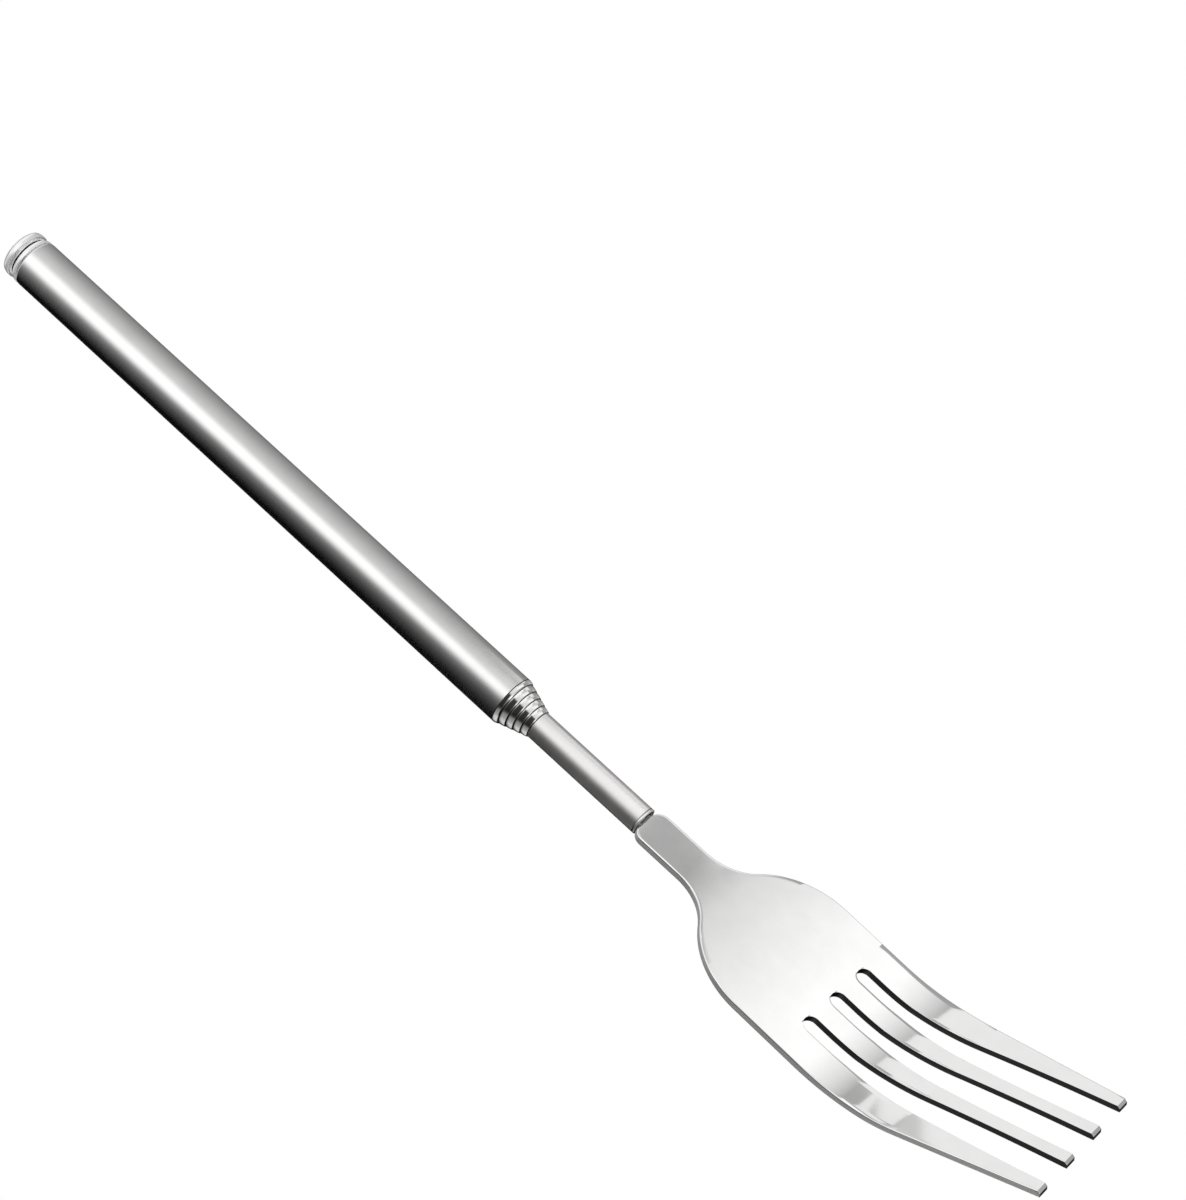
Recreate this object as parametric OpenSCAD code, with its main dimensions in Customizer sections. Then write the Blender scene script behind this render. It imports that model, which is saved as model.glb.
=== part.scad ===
// Pocket fork with a telescopic handle: six nested steel tubes and a flat four-tine head.
// X runs along the tubes towards the tines, Y across the head, Z up towards the tine tips.
// The origin is on the tubes' axis, where the handle's straight outside starts at the butt.

/* [Tubes] */
// Outside diameter of the handle tube
handle_d = 8.46; // [8.2:0.02:9]
// Wall of every tube
wall = 0.24; // [0.2:0.02:0.26]
// Drop in outside radius from one tube to the next
radius_step = 0.375; // [0.36:0.005:0.4]
// Place of the handle tube's mouth
mouth_x = 109.2; // [90:0.2:115]
// How far each closed tube stands out of the one around it
mouth_step = 1.2; // [0.8:0.1:1.6]
// Length of the slimmest tube that shows when closed
slim_show = 22.45; // [10:0.05:30]
// Free movement left between two tubes that run in each other, on the radius
running_gap = 0.03; // [0.02:0.005:0.04]

/* [Tube ends] */
// Length of the polished nose at the handle tube's mouth
handle_nose = 0.7; // [0.4:0.05:1]
// Length of the polished nose at the mouths of the sliding tubes
ring_nose = 1; // [0.5:0.05:1.1]
// How far a nose narrows towards its mouth
nose_drop = 0.24; // [0.1:0.02:0.3]
// Length of the narrowed throat that guides the next tube
throat_len = 2.4; // [1.5:0.1:4]
// Length over which a tube narrows to its throat
swage_len = 0.8; // [0.4:0.1:1.5]
// Length of the thickened foot at the inner end of each sliding tube
foot_len = 13; // [8:0.5:16]
// Width of the two raised bands of the foot
band_len = 1; // [0.6:0.1:1.5]

/* [End cap] */
// Length of the plug inside the handle tube
plug_len = 12; // [6:0.5:14]
// Length of the rounded bead at the butt
bead_len = 1.4; // [1:0.1:2]
// Width of the groove between bead and collar
groove_len = 0.8; // [0.4:0.05:1]
// Depth of that groove
groove_depth = 0.5; // [0.3:0.05:0.8]
// Width of the thin collar ring
collar_len = 0.9; // [0.6:0.05:1.4]

/* [Fork head] */
// Thickness of the stamped sheet at the neck and body
sheet = 1.2; // [1.1:0.05:1.6]
// Thickness of the tines past their bend
tine_sheet = 1.05; // [0.8:0.05:1.2]
// Width of the neck
neck_w = 7.06; // [6:0.02:8]
// Width across the outer tines
head_w = 28.8; // [26:0.2:30]
// Place where the neck starts to flare
flare_x = 146.35; // [143:0.1:150]
// Place of the closed ends of the slots
slot_x = 174.7; // [173:0.1:178]
// Width of a slot at its closed end
slot_w = 2.95; // [2.4:0.05:3.2]
// Place where the tines begin to bend upwards
bend_x = 178.9; // [178:0.1:184]
// Angle of the straight part of the tines
tine_angle = 24; // [10:1:30]
// Place of the tine tips
tip_x = 216.5; // [208:0.5:220]

/* [Hidden] */

$fn = 96;
TUBES = 6;
ARC_STEPS = 12;          // straight steps in a drawn arc

// Nested tubes: 1 is the handle, 6 the slimmest
function outer_r(k) = handle_d / 2 - radius_step * (k - 1);
function bore_r(k) = outer_r(k) - wall;
function throat_r(k) = outer_r(k + 1) + running_gap;
function band_r(k) = bore_r(k - 1) - running_gap;
function front_x(k) = mouth_x + mouth_step * (k - 1);
slim_front_x = front_x(TUBES - 1) + slim_show;
butt_round = 0.4;        // rounded edge at the handle tube's butt
slim_round = 0.1;        // rounded edge at the slimmest tube's front
foot_gap = 0.3;          // from the plug to the sliding tubes' feet
foot_x = plug_len + foot_gap;

// Half-round friction clips that sit between the two bands of a foot
clip_end_gap = 0.1;
clip_angle = 172;

// End cap
seam = 0.07;             // fine line between collar and tube
cap_r = outer_r(1) - 0.01;
press_gap = 0.01;        // joints that are pressed together, on the radius
collar_round = 0.2;
bead_round = 0.6;
dome_rise = 0.2;
collar_x = -butt_round - seam;
groove_x = collar_x - collar_len;
bead_x = groove_x - groove_len;
cap_end_x = bead_x - bead_len;
groove_r = cap_r - groove_depth;

// Fork head in plan
tang_w = 3;
tang_len = 8.6;
tang_x = slim_front_x - tang_len;
shoulder_x = slim_front_x + 0.15;
shoulder_r = 2;
flare_end_x = 166.7;
flare_inner_r = 9.1;     // hollow curve from the neck
taper_x = 190;           // where the outer tines start to narrow
taper_round = 60;        // soft curve at the start of the taper
tip_half_w = 12.3;       // from the axis to an outer tine's outer edge at its tip
slot_pitch = 7.06;       // between slot centres at their closed ends
slot_spread = 0.46;      // how far the outer slots move outwards by the tips
spread_x = 182;
slot_widen_x = 184;
slot_widen_end_x = 214;
slot_widen = 1.18;       // gain of a slot's half width by the tips
slot_steps = 14;

// Fork head from the side
dip_x = 150;             // neck and body meet at a slight angle
dip_angle = 1.15;
dip_r = 200;
bend_r = 40;
bend_steps = 16;
tip_chamfer = 0.4;

// Tang plug
plug_clear = 0.02;       // around the tang in its slot
tang_plug_len = 10;
tang_plug_recess = 0.55;
tang_plug_x = slim_front_x - tang_plug_recess - tang_plug_len;

function arc(cx, cy, r, a0, a1, steps = ARC_STEPS) =
    [for (i = [0 : steps]) let (a = a0 + (a1 - a0) * i / steps) [cx + r * cos(a), cy + r * sin(a)]];

// Nose of a tube with outside radius r whose mouth is at x: a cone with a slight crown
function nose(r, x, length) =
    let (slope = atan(nose_drop / length), start = slope / 2, end = slope * 1.5,
        round = length / (sin(end) - sin(start)))
    arc(r - round * cos(start), x - length - round * sin(start), round, start, end, 6);

// Inside outline of tube k from back to front: bore, swage and throat
function lipped_inside(k, back, front) = [
    [bore_r(k), back],
    [bore_r(k), front - throat_len - swage_len],
    [throat_r(k), front - throat_len],
    [throat_r(k), front]];

// Outside outline of a foot: band, clip seat, band
function foot_outside(k) = [
    [outer_r(k), foot_x + foot_len],
    [band_r(k), foot_x + foot_len],
    [band_r(k), foot_x + foot_len - band_len],
    [outer_r(k), foot_x + foot_len - band_len],
    [outer_r(k), foot_x + band_len],
    [band_r(k), foot_x + band_len],
    [band_r(k), foot_x]];

function reversed(list) = [for (i = [len(list) - 1 : -1 : 0]) list[i]];

// Turns an outline of [radius, place along the axis] about the X axis
module turned(outline, angle = 360) {
    rotate([0, 90, 0]) rotate_extrude(angle = angle) polygon(outline);
}

module handle_tube() {
    front = front_x(1);
    butt = arc(outer_r(1) - butt_round, 0, butt_round, 0, -90, 6);
    color("gainsboro")
        turned(concat(lipped_inside(1, -butt_round, front),
            reversed(nose(outer_r(1), front, handle_nose)), butt));
}

// Sliding tubes 2 to 5: foot at the back, throat and nose at the mouth
module sliding_tube(k) {
    front = front_x(k);
    color("silver")
        turned(concat(lipped_inside(k, foot_x, front),
            reversed(nose(outer_r(k), front, ring_nose)), foot_outside(k)));
}

// The slimmest tube has a plain mouth that holds the fork head
module tube_6() {
    inside = [[bore_r(TUBES), foot_x], [bore_r(TUBES), slim_front_x]];
    rim = arc(outer_r(TUBES) - slim_round, slim_front_x - slim_round, slim_round, 90, 0, 4);
    color("gainsboro") turned(concat(inside, rim, foot_outside(TUBES)));
}

// side = 1 is the clip half on +Y, side = -1 the half on -Y
module clip(k, side) {
    inner = outer_r(k) + running_gap;
    outer = bore_r(k - 1) - running_gap;
    back = foot_x + band_len + clip_end_gap;
    front = foot_x + foot_len - band_len - clip_end_gap;
    start = side * 90 - clip_angle / 2;
    color("goldenrod")
        rotate([start, 0, 0])
            turned([[inner, back], [outer, back], [outer, front], [inner, front]], clip_angle);
}

module end_cap() {
    bead_side = arc(cap_r - bead_round, cap_end_x + bead_round, bead_round, -90, 0, 8);
    color("whitesmoke")
        turned(concat(
            [[0, plug_len], [0, cap_end_x - dome_rise], [cap_r * 0.45, cap_end_x - dome_rise * 0.75]],
            bead_side,
            [[cap_r, bead_x - 0.2], [cap_r - 0.2, bead_x], [groove_r, bead_x], [groove_r, groove_x],
             [groove_r, collar_x], [bore_r(1) - press_gap, collar_x],
             [bore_r(1) - press_gap, plug_len - 0.4], [bore_r(1) - 0.4, plug_len]]));
}

// Thin ring pressed on the cap's waist, against the tube's butt
module cap_collar() {
    inner = groove_r + press_gap;
    color("white")
        turned(concat(
            [[inner, collar_x], [inner, groove_x]],
            arc(cap_r - collar_round, groove_x + collar_round, collar_round, -90, 0, 5),
            arc(cap_r - collar_round, collar_x - collar_round, collar_round, 0, 90, 5)));
}

// Upper edge of the head in plan, from the tang to the tip
flare_angle = 2 * atan((head_w - neck_w) / 2 / (flare_end_x - flare_x));
flare_outer_r = (flare_end_x - flare_x) / sin(flare_angle) - flare_inner_r;
taper_angle = atan((head_w / 2 - tip_half_w) / (tip_x - taper_x));
outline_end_x = tip_x + 3;

function plan_edge() = concat(
    [[tang_x, tang_w / 2], [shoulder_x, tang_w / 2], [shoulder_x, neck_w / 2 - shoulder_r]],
    arc(shoulder_x + shoulder_r, neck_w / 2 - shoulder_r, shoulder_r, 180, 90, 10),
    arc(flare_x, neck_w / 2 + flare_inner_r, flare_inner_r, -90, flare_angle - 90),
    arc(flare_end_x, head_w / 2 - flare_outer_r, flare_outer_r, 90 + flare_angle, 90),
    arc(taper_x, head_w / 2 - taper_round, taper_round, 90, 90 - taper_angle, 6),
    [[outline_end_x, tip_half_w - (outline_end_x - tip_x) * tan(taper_angle)]]);

function mirrored(list) = [for (p = reversed(list)) [p[0], -p[1]]];

// A slot's half width and its centre at place x; number is -1, 0 or 1
function ramp(x, x0, x1) = min(1, max(0, (x - x0) / (x1 - x0)));
function slot_half(x) = slot_w / 2 + slot_widen * sin(90 * ramp(x, slot_widen_x, slot_widen_end_x));
function slot_centre(x, number) = number * (slot_pitch + slot_spread * ramp(x, spread_x, tip_x));

function slot_edge(number, side) = [for (i = [0 : slot_steps])
    let (x = slot_widen_x + (slot_widen_end_x - slot_widen_x) * i / slot_steps)
    [x, slot_centre(x, number) + side * slot_half(x)]];

function slot_outline(number) = concat(
    arc(slot_x + slot_w / 2, slot_centre(slot_x, number), slot_w / 2, 270, 90, 16),
    slot_edge(number, 1),
    [[outline_end_x + 1, slot_centre(tip_x, number) + slot_half(tip_x)],
     [outline_end_x + 1, slot_centre(tip_x, number) - slot_half(tip_x)]],
    reversed(slot_edge(number, -1)));

// Line through the middle of the sheet, seen from the side: level, a slight dip, then the bend
dip_end_x = dip_x + dip_r * sin(dip_angle);
dip_end_z = -dip_r * (1 - cos(dip_angle));
bend_z = dip_end_z - (bend_x - dip_end_x) * tan(dip_angle);
bend_centre = [bend_x + bend_r * sin(dip_angle), bend_z + bend_r * cos(dip_angle)];
bend_end = bend_centre + bend_r * [sin(tine_angle), -cos(tine_angle)];
tip_z = bend_end[1] + (tip_x - bend_end[0]) * tan(tine_angle);

// Each face of the sheet is that line moved by half the thickness; side is 1 for the top.
// The underside rises along the bend until only the thinner tine is left.
function face_r(side, part) =
    bend_r - side * sheet / 2 - (side < 0 ? (sheet - tine_sheet) * part : 0);
function side_face(side) = concat(
    [[tang_x, side * sheet / 2]],
    arc(dip_x, -dip_r, dip_r + side * sheet / 2, 90, 90 - dip_angle, 3),
    [for (i = [0 : bend_steps])
        let (a = (tine_angle + dip_angle) * i / bend_steps - 90 - dip_angle)
        bend_centre + face_r(side, i / bend_steps) * [cos(a), sin(a)]]);

along_tine = [cos(tine_angle), sin(tine_angle)];
across_tine = [-sin(tine_angle), cos(tine_angle)];
tip = [tip_x, tip_z];

module fork_head() {
    tip_corners = [
        tip + across_tine * (sheet / 2 - tine_sheet),
        tip + across_tine * (sheet / 2 - tip_chamfer),
        tip + across_tine * sheet / 2 - along_tine * tip_chamfer];
    color("lightgray")
        intersection() {
            linear_extrude(height = 60, center = true)
                difference() {
                    polygon(concat(plan_edge(), mirrored(plan_edge())));
                    for (number = [-1 : 1]) polygon(slot_outline(number));
                }
            rotate([90, 0, 0])
                linear_extrude(height = 60, center = true)
                    polygon(concat(side_face(-1), tip_corners, reversed(side_face(1))));
        }
}

// Slotted round plug that holds the flat tang in the slimmest tube
module tang_plug() {
    slot_back = tang_x - plug_clear;
    slot_len = tang_plug_len + 1;
    slot = [slot_len, tang_w + 2 * plug_clear, sheet + 2 * plug_clear];
    color("dimgray")
        difference() {
            translate([tang_plug_x, 0, 0])
                rotate([0, 90, 0])
                    cylinder(h = tang_plug_len, r = bore_r(TUBES) - press_gap);
            translate([slot_back, -slot[1] / 2, -slot[2] / 2]) cube(slot);
        }
}

handle_tube();
end_cap();
cap_collar();
sliding_tube(2);  // tube_2
sliding_tube(3);  // tube_3
sliding_tube(4);  // tube_4
sliding_tube(5);  // tube_5
tube_6();
clip(2, 1);  // clip_2_left
clip(2, -1);  // clip_2_right
clip(3, 1);  // clip_3_left
clip(3, -1);  // clip_3_right
clip(4, 1);  // clip_4_left
clip(4, -1);  // clip_4_right
clip(5, 1);  // clip_5_left
clip(5, -1);  // clip_5_right
clip(6, 1);  // clip_6_left
clip(6, -1);  // clip_6_right
fork_head();
tang_plug();
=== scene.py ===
"""Looks of the telescopic pocket fork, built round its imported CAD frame.

Shapes are worked out in millimetres in the CAD frame, X along the tubes to the tines and Z up,
and become metres when a mesh is made.
"""

from math import atan, cos, pi, radians, sin, sqrt, tan

import bmesh
import bpy
from mathutils import Matrix, Vector


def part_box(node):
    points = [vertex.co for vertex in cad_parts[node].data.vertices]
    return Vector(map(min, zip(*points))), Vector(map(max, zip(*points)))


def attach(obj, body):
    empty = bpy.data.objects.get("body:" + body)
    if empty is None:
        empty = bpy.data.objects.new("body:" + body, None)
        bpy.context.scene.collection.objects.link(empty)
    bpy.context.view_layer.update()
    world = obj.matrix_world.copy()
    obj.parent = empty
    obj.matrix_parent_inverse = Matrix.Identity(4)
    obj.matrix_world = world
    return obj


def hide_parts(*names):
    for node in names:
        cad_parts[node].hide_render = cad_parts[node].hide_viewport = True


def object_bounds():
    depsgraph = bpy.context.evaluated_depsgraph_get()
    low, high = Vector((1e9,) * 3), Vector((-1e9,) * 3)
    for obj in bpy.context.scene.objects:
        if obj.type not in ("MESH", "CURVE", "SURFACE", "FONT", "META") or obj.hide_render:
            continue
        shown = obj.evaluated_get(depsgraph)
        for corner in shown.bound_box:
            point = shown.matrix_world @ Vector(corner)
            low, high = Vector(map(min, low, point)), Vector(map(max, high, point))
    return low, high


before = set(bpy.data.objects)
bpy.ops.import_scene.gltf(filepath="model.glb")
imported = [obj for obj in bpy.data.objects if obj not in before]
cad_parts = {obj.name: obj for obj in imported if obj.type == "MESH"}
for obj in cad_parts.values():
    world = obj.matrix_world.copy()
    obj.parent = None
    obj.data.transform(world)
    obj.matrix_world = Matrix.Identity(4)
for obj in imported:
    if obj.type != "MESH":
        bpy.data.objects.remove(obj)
cad_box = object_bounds()

MM = 0.001
CLOSE = 1e-7                # metres between vertices that are one


def corners(node):
    """Lowest and highest corner of a CAD node, in millimetres."""
    return [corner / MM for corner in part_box(node)]


# Tubes: number 1 is the handle, 6 the slimmest
TUBES = 6
HANDLE_R = corners("handle_tube")[1].y
WALL = 0.24
RADIUS_STEP = 0.375
RUNNING_GAP = 0.03
NOSE_DROP = 0.24
HANDLE_NOSE, RING_NOSE = 0.7, 1.0
THROAT_LEN, SWAGE_LEN = 2.4, 0.8
FOOT_X = corners("tube_2")[0].x
FOOT_LEN, BAND_LEN = 13.0, 1.0
BUTT_ROUND, RIM_ROUND, EDGE_ROUND, LIP = 0.4, 0.1, 0.06, 0.045
CREASE_LEN, CREASE_DEPTH = 0.16, 0.05
SLIM_RIM = 0.42             # from the slimmest tube's front to the fine line behind it
CLIP_GAP, CLIP_ANGLE = 0.1, 172

# End cap and its collar
CAP_R = corners("end_cap")[1].y
DOME = 0.2                  # rise of the cap's end
CAP_END = corners("end_cap")[0].x + DOME
PLUG_LEN, PLUG_CHAMFER = corners("end_cap")[1].x, 0.4
COLLAR_BACK, COLLAR_FRONT = corners("cap_collar")[0].x, corners("cap_collar")[1].x
GROOVE_LEN, GROOVE_DEPTH = 0.8, 0.5
BEAD_FRONT = COLLAR_BACK - GROOVE_LEN
WAIST_R = CAP_R - GROOVE_DEPTH
PRESS_GAP = 0.01            # between pieces that are pressed together, on the radius
BEAD_CROWN, COLLAR_CROWN = 0.4, 0.25    # how far each rises from its back to its crest
CREST_ROUND = 0.15          # its small round edge in front of the crest

# Fork head
TANG_X = corners("fork_head")[0].x
HEAD_W = corners("fork_head")[1].y * 2
NECK_W, TANG_W = 7.06, 3.0
SHEET, TINE_SHEET = 1.2, 1.05
SHOULDER_X, SHOULDER_R = 136.6, 2.0
FLARE_X, FLARE_END_X, FLARE_INNER_R = 146.35, 166.7, 9.1
TAPER_X, TAPER_ROUND, TIP_HALF_W = 190.0, 60.0, 12.3
SLOT_X, SLOT_W, SLOT_PITCH, SLOT_SPREAD = 174.7, 2.95, 7.06, 0.46
SPREAD_X, WIDEN_X, WIDEN_END_X, WIDEN = 182.0, 184.0, 214.0, 1.18
DIP_X, DIP_ANGLE, DIP_R = 150.0, radians(1.15), 200.0
BEND_X, BEND_R, TINE_ANGLE = 178.9, 40.0, radians(24)
TIP_X, TIP_CHAMFER = 216.5, 0.4
TOP_ROUND, LOW_ROUND = 0.17, 0.14        # rounded outer edges of the sheet
SLOT_SHARE = 0.3            # how round the slots' edges are against the outer ones
SLANT_LIMIT = 2             # most that a slanting outline widens its rounded edge
ROUND_STEPS, COLUMNS, DIP_STEPS = 4, 6, 6
ROW_GAP = 0.2               # rows stay this far from those round the slots' ends
FLAT, EDGE, SLOT = range(3)  # the head's materials: faces, outer edge in a darker grey that is partly painted shade, punched slots and tine ends in black painted shade

TURN_STEPS = 160            # faces round a tube
SHARP = radians(35)         # a steeper fold than this stays a crisp edge


def outer_r(k):
    return HANDLE_R - RADIUS_STEP * (k - 1)


def bore_r(k):
    return outer_r(k) - WALL


def throat_r(k):
    return outer_r(k + 1) + RUNNING_GAP


def band_r(k):
    return bore_r(k - 1) - RUNNING_GAP


def tube_name(k):
    return "handle_tube" if k == 1 else f"tube_{k}"


def front_x(k):
    return corners(tube_name(k))[1].x


# ---------------------------------------------------------------- meshes

def arc(x, r, radius, start, end, steps=8):
    """Points of an arc about (x, r); 0 degrees is towards +X and 90 outwards."""
    turns = [radians(start + (end - start) * i / steps) for i in range(steps + 1)]
    return [(x + radius * cos(a), r + radius * sin(a)) for a in turns]


def finish_mesh(name, bm, materials, body, slot, *nodes):
    """Turns bm, in millimetres, into a piece that rides on body and stands for nodes."""
    bmesh.ops.scale(bm, vec=(MM, MM, MM), verts=bm.verts)
    bmesh.ops.remove_doubles(bm, verts=bm.verts, dist=CLOSE)
    bmesh.ops.dissolve_degenerate(bm, edges=bm.edges, dist=CLOSE)
    bmesh.ops.recalc_face_normals(bm, faces=bm.faces)
    for face in bm.faces:
        face.smooth = True
    for edge in bm.edges:
        edge.smooth = edge.calc_face_angle(0) < SHARP
    mesh = bpy.data.meshes.new(name)
    bm.to_mesh(mesh)
    bm.free()
    for material in materials:
        mesh.materials.append(material)
    piece = bpy.data.objects.new(name, mesh)
    bpy.context.scene.collection.objects.link(piece)
    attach(piece, body)
    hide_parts(*nodes)
    return piece


def turned(outline, start=0, angle=360):
    """A solid of revolution about X from a closed outline of (x, r) points."""
    bm = bmesh.new()
    whole = angle == 360
    steps = TURN_STEPS if whole else TURN_STEPS // 2
    turns = [radians(start + angle * i / steps) for i in range(steps if whole else steps + 1)]
    rings = [[bm.verts.new((x, r * cos(a), r * sin(a))) for x, r in outline] for a in turns]
    points = len(outline)
    for i in range(steps):
        near, far = rings[i], rings[(i + 1) % len(rings)]
        for j in range(points):
            bm.faces.new((near[j], near[(j + 1) % points], far[(j + 1) % points], far[j]))
    if not whole:
        bm.faces.new(rings[0])
        bm.faces.new(rings[-1])
    return bm


# ---------------------------------------------------------------- tube outlines

def nose(k, length, steps=8):
    """Nose at tube k's mouth: a slightly crowned cone, its small front edge and an open rim."""
    slope = atan(NOSE_DROP / length)
    start, end = slope / 2, slope * 1.5
    radius = length / (sin(end) - sin(start))
    x, r = front_x(k) - length - radius * sin(start), outer_r(k) - radius * cos(start)
    cone = arc(x, r, radius, 90 - start * 180 / pi, 90 - end * 180 / pi, steps)[:-1]
    edge = arc(front_x(k) - LIP, outer_r(k) - NOSE_DROP - LIP, LIP, 70, 0, 4)
    return cone + edge + [(front_x(k), throat_r(k) + LIP), (front_x(k) - 2 * LIP, throat_r(k))]


def lipped_inside(k, back):
    """Inside of tube k from its mouth to its back: throat, swage, bore."""
    swage = front_x(k) - THROAT_LEN
    return [(swage, throat_r(k)), (swage - SWAGE_LEN, bore_r(k)), (back, bore_r(k))]


def foot_outside(k):
    """Foot of sliding tube k from its back: band, clip seat, band, each band softly edged."""
    points = []
    for start in (FOOT_X, FOOT_X + FOOT_LEN - BAND_LEN):
        end = start + BAND_LEN
        inner = band_r(k) - EDGE_ROUND
        if start > FOOT_X:
            points += [(start, outer_r(k))]
        points += arc(start + EDGE_ROUND, inner, EDGE_ROUND, 180, 90, 4)
        points += arc(end - EDGE_ROUND, inner, EDGE_ROUND, 90, 0, 4)
        points += [(end, outer_r(k))]
    return points


def crease(x, r):
    """Fine rolled line round a tube: a steep back wall and a sloping front one."""
    half = CREASE_LEN / 2
    return [(x - half, r), (x - half * 0.8, r - CREASE_DEPTH), (x, r - CREASE_DEPTH), (x + half, r)]


def handle_outline():
    r = outer_r(1)
    butt = arc(0, r - BUTT_ROUND, BUTT_ROUND, 180, 90)
    line = crease(front_x(1) - HANDLE_NOSE - CREASE_LEN / 2, r)
    return butt + line + nose(1, HANDLE_NOSE) + lipped_inside(1, -BUTT_ROUND)


def section_outline(k):
    return foot_outside(k) + nose(k, RING_NOSE) + lipped_inside(k, FOOT_X)


def slim_outline():
    rim = arc(front_x(TUBES) - RIM_ROUND, outer_r(TUBES) - RIM_ROUND, RIM_ROUND, 90, 0, 6)
    inside = [(front_x(TUBES), bore_r(TUBES)), (FOOT_X, bore_r(TUBES))]
    line = crease(front_x(TUBES) - SLIM_RIM, outer_r(TUBES))
    return foot_outside(TUBES) + line + rim + inside


def clip_outline(k):
    """Half-round friction clip with softened ends, between the bands of tube k's foot."""
    inner, outer = outer_r(k) + RUNNING_GAP, bore_r(k - 1) - RUNNING_GAP
    half = (outer - inner) / 2
    back = FOOT_X + BAND_LEN + CLIP_GAP + half
    front = FOOT_X + FOOT_LEN - BAND_LEN - CLIP_GAP - half
    middle = inner + half
    return arc(back, middle, half, 270, 90, 6) + arc(front, middle, half, 90, -90, 6)


def crowned(back, front, crown, steps=16):
    """Outside of a ring that rises from its back to a crest close behind its front."""
    crest, length = front - CREST_ROUND, front - CREST_ROUND - back
    rise = [(crest - length * cos(pi / 2 * i / steps), CAP_R - crown * (1 - sin(pi / 2 * i / steps)))
            for i in range(steps)]
    return rise + arc(crest, CAP_R - CREST_ROUND, CREST_ROUND, 90, 0, 6)


def cap_outline():
    """Polished cap: domed end, crowned bead, waist under the collar, then the hidden plug."""
    dome_steps = 10
    dome_r = CAP_R - BEAD_CROWN
    end = [(CAP_END - DOME * (1 - (i / dome_steps) ** 2), dome_r * i / dome_steps)
           for i in range(dome_steps)]
    waist = [(BEAD_FRONT, WAIST_R + 0.1), (BEAD_FRONT + 0.1, WAIST_R), (COLLAR_FRONT, WAIST_R)]
    plug_r = bore_r(1) - PRESS_GAP
    plug = [(COLLAR_FRONT, plug_r), (PLUG_LEN - PLUG_CHAMFER, plug_r),
            (PLUG_LEN, plug_r - PLUG_CHAMFER), (PLUG_LEN, 0)]
    return end + crowned(CAP_END, BEAD_FRONT, BEAD_CROWN) + waist + plug


def collar_outline():
    """Thin ring with a crowned outside, pressed on the cap's waist."""
    inner = WAIST_R + PRESS_GAP
    return [(COLLAR_BACK, inner)] + crowned(COLLAR_BACK, COLLAR_FRONT, COLLAR_CROWN) + [
        (COLLAR_FRONT, inner)]


# ---------------------------------------------------------------- fork head

FLARE_ANGLE = 2 * atan((HEAD_W - NECK_W) / 2 / (FLARE_END_X - FLARE_X))
FLARE_OUTER_R = (FLARE_END_X - FLARE_X) / sin(FLARE_ANGLE) - FLARE_INNER_R
TAPER_ANGLE = atan((HEAD_W / 2 - TIP_HALF_W) / (TIP_X - TAPER_X))
OUTLINE_END_X = TIP_X + 3


def ramp(x, start, end):
    return min(1, max(0, (x - start) / (end - start)))


def half_width(x):
    """Half the width of the head's outline at place x."""
    neck, head = NECK_W / 2, HEAD_W / 2
    hollow_end = FLARE_X + FLARE_INNER_R * sin(FLARE_ANGLE)
    taper_end = TAPER_X + TAPER_ROUND * sin(TAPER_ANGLE)
    if x <= SHOULDER_X:
        return TANG_W / 2
    if x < SHOULDER_X + SHOULDER_R:
        return neck - SHOULDER_R + sqrt(SHOULDER_R ** 2 - (SHOULDER_X + SHOULDER_R - x) ** 2)
    if x < FLARE_X:
        return neck
    if x < hollow_end:
        return neck + FLARE_INNER_R - sqrt(FLARE_INNER_R ** 2 - (x - FLARE_X) ** 2)
    if x < FLARE_END_X:
        return head - FLARE_OUTER_R + sqrt(FLARE_OUTER_R ** 2 - (FLARE_END_X - x) ** 2)
    if x < TAPER_X:
        return head
    if x < taper_end:
        return head - TAPER_ROUND + sqrt(TAPER_ROUND ** 2 - (x - TAPER_X) ** 2)
    start = head - TAPER_ROUND * (1 - cos(TAPER_ANGLE))
    end = TIP_HALF_W - (OUTLINE_END_X - TIP_X) * tan(TAPER_ANGLE)
    return start + (end - start) * ramp(x, taper_end, OUTLINE_END_X)


def slot_half(x):
    """Half the width of a slot at place x, zero at its closed end."""
    radius = SLOT_W / 2
    if x < SLOT_X + radius:
        return sqrt(max(0, radius ** 2 - (SLOT_X + radius - x) ** 2))
    return radius + WIDEN * sin(pi / 2 * ramp(x, WIDEN_X, WIDEN_END_X))


def slot_centre(x, number):
    """Where slot -1, 0 or 1 runs; behind the slots the same lines close up with the outline."""
    squeeze = half_width(x) / (HEAD_W / 2) if x < SLOT_X else 1
    return number * (SLOT_PITCH * squeeze + SLOT_SPREAD * ramp(x, SPREAD_X, TIP_X))


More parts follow.
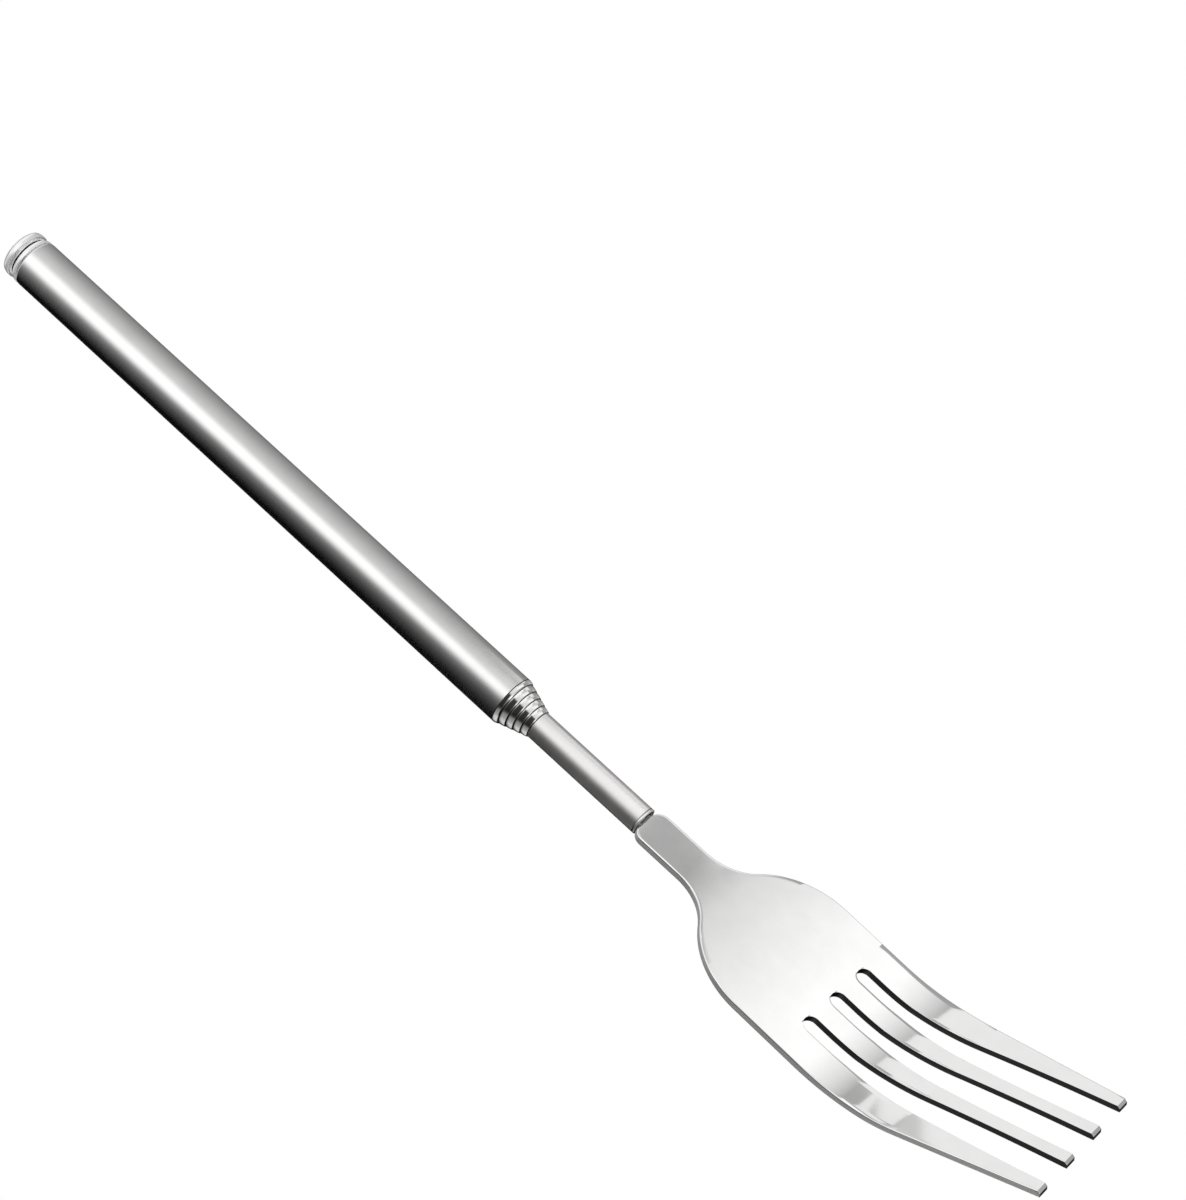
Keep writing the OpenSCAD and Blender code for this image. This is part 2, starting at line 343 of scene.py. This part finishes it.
def side_face(side, steps=48):
    """Points (x, z) of one face of the sheet seen from the side, from the tang to the tip."""
    half = side * SHEET / 2
    dips = [DIP_ANGLE * i / DIP_STEPS for i in range(DIP_STEPS + 1)]
    dip = [(DIP_X + (DIP_R + half) * sin(a), (DIP_R + half) * cos(a) - DIP_R) for a in dips]
    dip_end = DIP_X + DIP_R * sin(DIP_ANGLE), DIP_R * (cos(DIP_ANGLE) - 1)
    bend_z = dip_end[1] - (BEND_X - dip_end[0]) * tan(DIP_ANGLE)
    cx, cz = BEND_X + BEND_R * sin(DIP_ANGLE), bend_z + BEND_R * cos(DIP_ANGLE)
    thinning = SHEET - TINE_SHEET if side < 0 else 0
    bend = []
    for i in range(steps + 1):
        a = (TINE_ANGLE + DIP_ANGLE) * i / steps - DIP_ANGLE
        radius = BEND_R - half - thinning * i / steps
        bend.append((cx + radius * sin(a), cz - radius * cos(a)))
    along = Vector((cos(TINE_ANGLE), sin(TINE_ANGLE)))
    across = Vector((-along.y, along.x))
    end = Vector((cx, cz)) + BEND_R * Vector((sin(TINE_ANGLE), -cos(TINE_ANGLE)))
    tip = end + along * ((TIP_X - end.x) / along.x)
    if side > 0:
        tips = [tip + across * half - along * TIP_CHAMFER, tip + across * (half - TIP_CHAMFER)]
    else:
        tips = [tip + across * (SHEET / 2 - TINE_SHEET)]
    return [(TANG_X, half)] + dip + bend + [tuple(p) for p in tips]


def height(face, x):
    """Height of a face of the sheet at place x."""
    for (x0, z0), (x1, z1) in zip(face, face[1:]):
        if x <= x1:
            return z0 + (z1 - z0) * (x - x0) / (x1 - x0)
    return face[-1][1]


def head_stations(shoulder_steps=10, even_steps=90, tine_step=2.0):
    """Places along the head where its mesh has a row, even ones with more round the slots' ends."""
    shoulder_end, slot_round_end = SHOULDER_X + SHOULDER_R, SLOT_X + SLOT_W / 2
    quarter = [1 - cos(pi / 2 * i / shoulder_steps) for i in range(shoulder_steps + 1)]
    even = [shoulder_end + (BEND_X - shoulder_end) * i / even_steps for i in range(1, even_steps + 1)]
    bend = [x for x, _ in side_face(1)[:-2] if x > BEND_X]
    tines = [bend[-1] + tine_step * i for i in range(1, int((TIP_X - bend[-1]) / tine_step))]
    places = [TANG_X] + [SHOULDER_X + SHOULDER_R * share for share in quarter]
    places += [x for x in even if x < SLOT_X - ROW_GAP or x > slot_round_end + ROW_GAP]
    places += [SLOT_X + SLOT_W / 2 * share for share in quarter] + bend + tines
    places = sorted(places)
    return places[:1] + [x for before, x in zip(places, places[1:]) if x - before > CLOSE / MM]


def edge_points(y, out, top, low, share, slant):
    """Points (x, y, z) down one side of a strip, from its top face to its bottom face.

    top and low are the (x, z) of the two faces. share scales the rounded edges, to 0 where two
    strips are one sheet, and slant widens them where the outline runs across the sheet.
    """
    points = []
    for (_, z), up, radius in ((top, 1, TOP_ROUND * share), (low, -1, LOW_ROUND * share)):
        turns = [pi / 2 * i / ROUND_STEPS for i in range(ROUND_STEPS + 1)]
        for a in turns if up > 0 else turns[::-1]:
            height_here = z - up * radius * (1 - cos(a))
            depth = (top[1] - height_here) / (top[1] - low[1])
            x = top[0] + (low[0] - top[0]) * depth
            points.append(Vector((x, y - out * slant * radius * (1 - sin(a)), height_here)))
    return points


def strip_limits(x, strip):
    """Low and high side of one of the head's four strips at place x."""
    centres = [slot_centre(x, number) for number in (-1, 0, 1)]
    half = slot_half(x) if x > SLOT_X else 0
    low = -half_width(x) if strip == 0 else centres[strip - 1] + half
    high = half_width(x) if strip == 3 else centres[strip] - half
    return low, high


def strip_section(strip, top, low):
    """Closed loop of points round a strip: top face, high side, bottom face, low side."""
    x, probe = top[0], 0.05
    slope = (half_width(x + probe) - half_width(x - probe)) / (2 * probe)
    slant = min(SLANT_LIMIT, sqrt(1 + slope ** 2))
    slotted = SLOT_SHARE * slot_half(x) / (SLOT_W / 2) if x > SLOT_X else 0
    sides = []
    for y, out, outside in zip(strip_limits(x, strip), (-1, 1), (strip == 0, strip == 3)):
        share, widening = (1, slant) if outside else (min(slotted, SLOT_SHARE), 1)
        sides.append(edge_points(y, out, top, low, share, widening))
    left, right = sides

    def spread(start, end):
        return [start.lerp(end, j / COLUMNS) for j in range(COLUMNS + 1)]

    return spread(left[0], right[0]) + right[1:-1] + spread(right[-1], left[-1]) + left[-2:0:-1]


def head_mesh():
    """The stamped head: four strips side by side that part at the slots and become the tines."""
    bm = bmesh.new()
    top, bottom = side_face(1), side_face(-1)
    rows = [((x, height(top, x)), (x, height(bottom, x))) for x in head_stations()]
    chamfer_x = top[-2][0]
    rows += [(top[-2], (chamfer_x, height(bottom, chamfer_x))), (top[-1], bottom[-1])]
    for strip in range(4):
        kinds = []
        for outside in (strip == 3, strip == 0):
            # slot walls take the black painted shade
            wall = EDGE if outside else SLOT
            kinds += [FLAT] * COLUMNS + [FLAT] * ROUND_STEPS + [wall] + [FLAT] * ROUND_STEPS
        side_steps = 2 * ROUND_STEPS + 1
        inside = [range(COLUMNS, COLUMNS + side_steps), range(2 * COLUMNS + side_steps, len(kinds))]
        hidden = [j for j_range, outside in zip(inside, (strip == 3, strip == 0)) if not outside
                  for j in j_range]
        loops = [[bm.verts.new(point) for point in strip_section(strip, *row)] for row in rows]
        for ((x, _), _), near, far in zip(rows, loops, loops[1:]):
            for j, kind in enumerate(kinds):
                if j in hidden and x < SLOT_X:
                    continue
                k = (j + 1) % len(kinds)
                bm.faces.new((near[j], near[k], far[k], far[j])).material_index = kind
        # the tang's end face takes the outer edge material, the tines' end faces the black painted shade
        for loop, kind in ((loops[0], EDGE), (loops[-1], SLOT)):
            bm.faces.new(loop).material_index = kind
    return bm


def keep_flats(piece):
    """Keeps the flat faces flat in the shading next to their rounded edges."""
    weighted = piece.modifiers.new("flats", "WEIGHTED_NORMAL")
    weighted.weight = 50
    weighted.keep_sharp = True


# ---------------------------------------------------------------- materials

POLISH_ROUGHNESS = 0.09
BRUSH_DEPTH = 0.004         # depth of the brushed lines


def add(tree, kind, inputs=None, **settings):
    """Adds a node. inputs gives values or sockets by the input's name or number."""
    made = tree.nodes.new(kind)
    for key, value in settings.items():
        setattr(made, key, value)
    for key, value in (inputs or {}).items():
        if isinstance(value, bpy.types.NodeSocket):
            tree.links.new(value, made.inputs[key])
        else:
            made.inputs[key].default_value = value
    return made


def math(tree, operation, a, b=0.0, c=0.0):
    return add(tree, "ShaderNodeMath", {0: a, 1: b, 2: c}, operation=operation).outputs[0]


def map_range(tree, value, low, high, to_low, to_high, smooth=False):
    kind = "SMOOTHSTEP" if smooth else "LINEAR"
    inputs = {"Value": value, "From Min": low, "From Max": high, "To Min": to_low, "To Max": to_high}
    return add(tree, "ShaderNodeMapRange", inputs, interpolation_type=kind).outputs["Result"]


def noise(tree, place, size, detail=3.0, roughness=0.5):
    """Noise whose grains measure size millimetres, one number or one for each of X, Y and Z."""
    sizes = size if isinstance(size, tuple) else (size, size, size)
    scale = tuple(1 / (s * MM) for s in sizes)
    scaled = add(tree, "ShaderNodeVectorMath", {0: place, 1: scale}, operation="MULTIPLY").outputs[0]
    inputs = {"Vector": scaled, "Scale": 1.0, "Detail": detail, "Roughness": roughness}
    return add(tree, "ShaderNodeTexNoise", inputs).outputs["Fac"]


def metal(name, colour, roughness, brush, brush_bump=0.3, anisotropy=0.0, metallic=1.0, polish=None,
          wear=(0.15, 1.5, 1.5), painted_shade_lines=()):
    """Brushed or polished metal. brush and wear are grain sizes in millimetres along X, Y and Z.

    polish is a place along X past which the satin finish turns into a polished one. The last
    argument lists (start, end, shade) of dark lines painted round the piece, shade 0 being black:
    painted shade in its creases, seams and gaps.
    """
    material = bpy.data.materials.new(name)
    material.use_nodes = True
    tree = material.node_tree
    tree.nodes.clear()
    place = add(tree, "ShaderNodeTexCoord").outputs["Object"]
    lines = noise(tree, place, brush, detail=4, roughness=0.65)
    cloud = noise(tree, place, 4.0, detail=3)
    marks = noise(tree, place, wear, detail=5, roughness=0.7)
    scratch = map_range(tree, marks, 0.66, 0.74, 0.0, 1.0, smooth=True)

    dark = tuple(c * 0.95 for c in colour) + (1,)
    tint = map_range(tree, math(tree, "MULTIPLY_ADD", lines, 0.35, cloud), 0.45, 0.9, 0.0, 1.0)
    mixed = add(tree, "ShaderNodeMix", {0: tint, 6: dark, 7: (*colour, 1)}, data_type="RGBA").outputs[2]

    x = add(tree, "ShaderNodeSeparateXYZ", {0: place}).outputs["X"]
    # each line mixes the colour towards near-black: painted shade
    for start, end, shade in painted_shade_lines:
        within = math(tree, "COMPARE", x, (start + end) / 2 * MM, (end - start) / 2 * MM)
        share = math(tree, "MULTIPLY", within, 1 - shade)
        mixed = add(tree, "ShaderNodeMix", {0: share, 6: mixed, 7: PAINTED_SHADE_BLACK}, data_type="RGBA").outputs[2]

    rough = map_range(tree, lines, 0.3, 0.7, roughness * 0.88, roughness * 1.12)
    less_rough = math(tree, "SUBTRACT", rough, roughness * 0.1)
    rough = math(tree, "MULTIPLY_ADD", cloud, roughness * 0.2, less_rough)
    rough = math(tree, "MULTIPLY_ADD", scratch, 0.05, rough)
    strength = brush_bump
    if polish is not None:
        shine = map_range(tree, x, polish * MM, (polish + 0.05) * MM, 0.0, 1.0, smooth=True)
        rough = add(tree, "ShaderNodeMix", {0: shine, 2: rough, 3: POLISH_ROUGHNESS}).outputs[0]
        strength = map_range(tree, shine, 0.0, 1.0, brush_bump, brush_bump * 0.15)
    relief = math(tree, "MULTIPLY_ADD", scratch, -0.6, lines)
    depths = {"Strength": strength, "Distance": BRUSH_DEPTH * MM, "Height": relief}
    bump = add(tree, "ShaderNodeBump", depths)
    shader = add(tree, "ShaderNodeBsdfPrincipled", {
        "Base Color": mixed, "Metallic": metallic, "Roughness": rough, "Anisotropic": anisotropy,
        "Normal": bump.outputs[0]})
    if anisotropy:
        tangent = add(tree, "ShaderNodeTangent", direction_type="RADIAL", axis="X")
        tree.links.new(tangent.outputs[0], shader.inputs["Tangent"])
        shader.inputs["Anisotropic Rotation"].default_value = 0.25
    add(tree, "ShaderNodeOutputMaterial", {0: shader.outputs[0]})
    return material


ROUND_BRUSH = (0.12, 2.5, 2.5)      # fine lines that run round a turned piece
LONG_BRUSH = (3.0, 0.12, 0.12)      # fine lines that run along X
UP_BRUSH = (0.12, 0.12, 1.5)        # shear lines across the thickness of a sheet

# near-black that the painted shade lines darken towards
PAINTED_SHADE_BLACK = (0.008, 0.008, 0.009, 1)
ROOT_BACK, ROOT_FRONT, ROOT_SHADE = 0.02, 0.13, 0.06    # painted shade line at a closed tube's root, where it meets the next tube
BUTT_SHADE_LINE = 0.12            # length of the painted shade line round the handle's butt, at its seam with the cap's collar
CAP_GROOVE_SHADE = 0.45             # and of the black painted shade in the groove in front of the cap's bead
BEAD_SHADE_LINE = 0.28, 0.4       # start and end of the bead's own painted shade line, from the cap's end


def root_shade_line(k):
    """Painted shade line round sliding tube k where it leaves the next one, with the fork closed; it stays
    on the tube when pulled out.
    """
    return front_x(k - 1) - ROOT_BACK, front_x(k - 1) + ROOT_FRONT, ROOT_SHADE


nose_root = front_x(1) - HANDLE_NOSE
# the line in the handle's crease and the one round its butt are painted shade
handle_satin = metal("handle_satin", (0.90, 0.90, 0.895), 0.18, ROUND_BRUSH, anisotropy=0.5,
                     polish=nose_root, painted_shade_lines=[(nose_root - CREASE_LEN, nose_root, 0.05),
                                               (-BUTT_ROUND, BUTT_SHADE_LINE - BUTT_ROUND, 0.15)])
# each sliding tube carries a painted shade line at its root
section_steels = {k: metal(f"section_steel_{k}", (0.90, 0.895, 0.89), 0.1, ROUND_BRUSH, 0.12,
                           wear=(6.0, 0.1, 0.1), painted_shade_lines=[root_shade_line(k)]) for k in range(2, TUBES)}
# painted shade lines at the slimmest tube's root and in the crease behind its rim
rim_shade_line = front_x(TUBES) - SLIM_RIM
slim_satin = metal("slim_satin", (0.95, 0.935, 0.93), 0.33, ROUND_BRUSH, 0.18,
                   painted_shade_lines=[root_shade_line(TUBES), (rim_shade_line - CREASE_LEN / 2, rim_shade_line + CREASE_LEN / 2, 0.35)])
# black painted shade in the groove behind the collar and a grey painted shade line on the bead
cap_polish = metal("cap_polish", (0.99, 0.99, 0.99), 0.1, ROUND_BRUSH, 0.03, metallic=0.5,
                   painted_shade_lines=[(COLLAR_BACK - CAP_GROOVE_SHADE, COLLAR_BACK, 0.0),
                            (CAP_END + BEAD_SHADE_LINE[0], CAP_END + BEAD_SHADE_LINE[1], 0.2)])
head_steel = metal("head_steel", (0.93, 0.928, 0.925), 0.07, LONG_BRUSH, 0.04)
# the outer edge's darker grey is partly a duller sheared finish and partly painted shade
sheared_and_shaded_steel = metal("sheared_and_shaded_steel", (0.42, 0.42, 0.418), 0.42, UP_BRUSH, 0.15, metallic=0.5)
# near-black colour of the slot walls and tine ends: painted shade
punched_painted_shade = metal("punched_painted_shade", (0.07, 0.07, 0.07), 0.4, UP_BRUSH, 0.3)
spring_brass = metal("spring_brass", (0.80, 0.58, 0.27), 0.24, ROUND_BRUSH, 0.4)
plug_steel = metal("plug_steel", (0.5, 0.5, 0.5), 0.5, (0.1, 0.6, 0.6), 0.3, metallic=0.2)


# ---------------------------------------------------------------- pieces

def build_handle():
    finish_mesh("handle_tube_turned", turned(handle_outline()), [handle_satin],
                "handle", "handle_satin", "handle_tube")
    finish_mesh("end_cap_turned", turned(cap_outline()), [cap_polish], "handle", "cap_polish", "end_cap")
    finish_mesh("cap_collar_turned", turned(collar_outline()), [cap_polish],
                "handle", "cap_polish", "cap_collar")


def build_section(k):
    node = tube_name(k)
    slim = k == TUBES
    outline = slim_outline() if slim else section_outline(k)
    material, slot = (slim_satin, "slim_satin") if slim else (section_steels[k], "section_steel")
    finish_mesh(f"{node}_turned", turned(outline), [material], f"section_{k}", slot, node)
    for side, middle in (("left", 0), ("right", 180)):
        clip = turned(clip_outline(k), middle - CLIP_ANGLE / 2, CLIP_ANGLE)
        finish_mesh(f"clip_{k}_{side}_turned", clip, [spring_brass], f"clips_{k}", "spring_brass",
                    f"clip_{k}_{side}")


def build_head():
    head = finish_mesh("fork_head_stamped", head_mesh(), [head_steel, sheared_and_shaded_steel, punched_painted_shade],
                       f"section_{TUBES}", "head_steel", "fork_head")
    keep_flats(head)
    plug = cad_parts["tang_plug"]
    plug.data.materials.clear()
    plug.data.materials.append(plug_steel)


# ---------------------------------------------------------------- studio

def linear(tone):
    """Linear light of a display tone from 0 to 255."""
    share = tone / 255
    return share / 12.92 if share < 0.04045 else ((share + 0.055) / 1.055) ** 2.4


# The studio seen by the metal, as tones by angle round the X axis from +Y (0) over the top (90).
# The handle's length sees the first list, noses turned a little towards the tines the second and
# faces turned towards the butt the third.
STUDIO = [
    (-90, 8), (-60, 40), (-20, 122), (0, 140), (36, 164), (72, 194), (98, 216), (110, 250),
    (120, 275), (146, 275), (157, 238), (167, 170), (180, 114), (204, 72), (228, 40), (252, 8)]
STUDIO_AHEAD = [
    (-90, 235), (-76, 60), (-60, 30), (-30, 20), (-20, 205), (10, 165), (36, 165), (60, 210),
    (84, 245), (110, 225), (124, 80), (134, 62), (160, 55), (204, 36), (213, 60), (226, 135),
    (250, 170), (268, 215)]
STUDIO_BEHIND = [
    (-90, 190), (-12, 232), (60, 248), (130, 262), (176, 245), (196, 190)]


def tone_ramp(tree, share, stops):
    """Colour along a list of (angle, tone); share runs from 0 at -90 degrees to 1 at 270."""
    made = add(tree, "ShaderNodeValToRGB", {0: share})
    elements = made.color_ramp.elements
    while len(elements) < len(stops):
        elements.new(1.0)
    for element, (angle, tone) in zip(elements, stops):
        element.position = (angle + 90) / 360
        element.color = (linear(tone),) * 3 + (1,)
    return made.outputs[0]


# Where the studio changes: angles round X, or the X part of a direction, with what lies on each side
SOFTBOX_ANGLES = radians(110), radians(140)
SOFTBOX_X, SOFTBOX_TURN = (-0.5, -0.1), (radians(-4), radians(24))
AHEAD_X, FAR_AHEAD_X, BEHIND_X = (-0.19, 0.0), (0.42, 0.52), (-0.66, -0.56)


def build_world():
    world = bpy.data.worlds.new("studio")
    bpy.context.scene.world = world
    world.use_nodes = True
    tree = world.node_tree
    tree.nodes.clear()
    direction = add(tree, "ShaderNodeTexCoord").outputs["Generated"]
    x, y, z = add(tree, "ShaderNodeSeparateXYZ", {0: direction}).outputs
    around = math(tree, "WRAP", math(tree, "ARCTAN2", z, y), 1.5 * pi, -0.5 * pi)
    # the front softbox is turned on round X towards the tines
    front = map_range(tree, around, *SOFTBOX_ANGLES, 0.0, 1.0, smooth=True)
    along = map_range(tree, x, *SOFTBOX_X, *SOFTBOX_TURN)
    turned_on = math(tree, "MULTIPLY_ADD", front, along, around)
    share = map_range(tree, turned_on, -0.5 * pi, 1.5 * pi, 0.0, 1.0)
    nearly_ahead = map_range(tree, x, *FAR_AHEAD_X, 1.0, 0.0, smooth=True)
    ahead = math(tree, "MULTIPLY", map_range(tree, x, *AHEAD_X, 0.0, 1.0, smooth=True), nearly_ahead)
    behind = map_range(tree, x, *BEHIND_X, 1.0, 0.0, smooth=True)
    sides = add(tree, "ShaderNodeMix", {0: ahead, 6: tone_ramp(tree, share, STUDIO),
                                        7: tone_ramp(tree, share, STUDIO_AHEAD)}, data_type="RGBA")
    bands = add(tree, "ShaderNodeMix", {0: behind, 6: sides.outputs[2],
                                        7: tone_ramp(tree, share, STUDIO_BEHIND)}, data_type="RGBA")
    studio = add(tree, "ShaderNodeBackground", {0: bands.outputs[2], 1: 1.0})
    paper = add(tree, "ShaderNodeBackground", {0: (1, 1, 1, 1), 1: 1.0})
    to_camera = add(tree, "ShaderNodeLightPath").outputs["Is Camera Ray"]
    mixed = add(tree, "ShaderNodeMixShader", {0: to_camera, 1: studio.outputs[0], 2: paper.outputs[0]})
    add(tree, "ShaderNodeOutputWorld", {0: mixed.outputs[0]})


PAPER_TONE = 255            # the white floor
FLOOR_HALF = 6.0            # metres
CARD_DISTANCE = 0.18        # metres from the tubes' axis to the cards
LAMP_WATTS, LAMP_SIZE = 3.0, 1.2        # a large soft lamp that reflections don't show
LAMP_PLACE, LAMP_TILT = (0.1, -0.35, 0.9), radians(-21)


def flat_card(name, points, material):
    """A flat card through points in metres; its own X runs along the CAD's X from their middle."""
    middle = sum((Vector(p) for p in points), Vector()) / len(points)
    normal = (Vector(points[1]) - Vector(points[0])).cross(Vector(points[-1]) - Vector(points[0]))
    up = normal.normalized().cross(Vector((1, 0, 0)))
    turn = Matrix((Vector((1, 0, 0)), up, normal.normalized())).transposed()
    mesh = bpy.data.meshes.new(name)
    local = [turn.transposed() @ (Vector(p) - middle) for p in points]
    mesh.from_pydata(local, [], [tuple(range(len(points)))])
    mesh.materials.append(material)
    card = bpy.data.objects.new(name, mesh)
    card.matrix_world = Matrix.Translation(middle) @ turn.to_4x4()
    bpy.context.scene.collection.objects.link(card)
    return card


def glow(name, tone, dim_tone=None, fade=None, power=1.0):
    """Plain emission, or emission that rises from dim_tone to tone between two places fade, which
    are metres along the card's own X."""
    material = bpy.data.materials.new(name)
    material.use_nodes = True
    tree = material.node_tree
    tree.nodes.clear()
    light = add(tree, "ShaderNodeEmission", {0: (1, 1, 1, 1), 1: linear(tone)})
    if fade:
        place = add(tree, "ShaderNodeTexCoord").outputs["Object"]
        x = add(tree, "ShaderNodeSeparateXYZ", {0: place}).outputs["X"]
        share = math(tree, "POWER", map_range(tree, x, *fade, 0.0, 1.0), power)
        strength = map_range(tree, share, 0.0, 1.0, linear(dim_tone), linear(tone))
        tree.links.new(strength, light.inputs[1])
    add(tree, "ShaderNodeOutputMaterial", {0: light.outputs[0]})
    return material


def build_card(name, distance, angles, places, tone, dim_tone=None, fade_len=None, power=1.0,
               start_angle=None):
    """A white card above the fork towards +Y, between two angles round X and two places along it.

    Only reflections show it.

    With fade_len it brightens from dim_tone over that length from its start. start_angle is its
    upper angle at its start, where the upper edge slopes.
    """
    low, high = angles
    start_x, end_x = places
    middle = radians(low + high) / 2
    out, up = Vector((0, cos(middle), sin(middle))), Vector((0, -sin(middle), cos(middle)))
    bounds = [(start_x, low), (end_x, low), (end_x, high), (start_x, start_angle or high)]
    points = [Vector((x, 0, 0)) + distance * (out + up * tan(radians(angle) - middle))
              for x, angle in bounds]
    half = (end_x - start_x) / 2
    fade = (-half, fade_len - half) if fade_len else None
    card = flat_card(name, points, glow(name, tone, dim_tone, fade, power))
    card.visible_camera = False
    card.visible_shadow = False
    card.visible_diffuse = False


def build_stage():
    build_world()
    quarters = ((-1, -1), (1, -1), (1, 1), (-1, 1))
    floor_corners = [(i * FLOOR_HALF, j * FLOOR_HALF, cad_box[0].z) for i, j in quarters]
    floor = flat_card("floor", floor_corners, glow("floor_white", PAPER_TONE))
    floor.visible_glossy = False
    build_card("upper_card", CARD_DISTANCE, (40, 78), (0.1125, 0.19), 266, dim_tone=156, fade_len=0.045,
               power=0.6)
    build_card("lower_card", CARD_DISTANCE - 0.002, (24, 47), (0.059, 0.1182), 242, start_angle=42)
    build_card("tine_card", CARD_DISTANCE, (45, 54), (0.06, 0.099), 240)
    build_card("slim_card", CARD_DISTANCE, (57, 112), (0.07, 0.125), 266)
    build_lamp()


def build_lamp():
    lamp = bpy.data.lights.new("soft_lamp", "AREA")
    lamp.size, lamp.energy = LAMP_SIZE, LAMP_WATTS
    lamp_object = bpy.data.objects.new("soft_lamp", lamp)
    lamp_object.location = LAMP_PLACE
    lamp_object.rotation_euler = (LAMP_TILT, 0, 0)
    lamp_object.visible_glossy = False
    lamp_object.visible_camera = False
    bpy.context.scene.collection.objects.link(lamp_object)


CAMERA_PLACE, CAMERA_AIM = (0.2274, -0.2967, 0.3290), (0.1021, 0.0278, 0.0)
CAMERA_ROLL, CAMERA_LENS, CAMERA_SENSOR = radians(27), 89.8, 36


def build_camera():
    location, aim = Vector(CAMERA_PLACE), Vector(CAMERA_AIM)
    data = bpy.data.cameras.new("camera")
    data.lens = CAMERA_LENS
    data.sensor_width = CAMERA_SENSOR
    camera = bpy.data.objects.new("camera", data)
    bpy.context.scene.collection.objects.link(camera)
    turn = (aim - location).to_track_quat("-Z", "Y").to_matrix() @ Matrix.Rotation(CAMERA_ROLL, 3, "Z")
    camera.matrix_world = Matrix.Translation(location) @ turn.to_4x4()
    bpy.context.scene.camera = camera


build_camera()
build_stage()
build_handle()
for number in range(2, TUBES + 1):
    build_section(number)
build_head()
bpy.context.scene.view_settings.view_transform = "Standard"
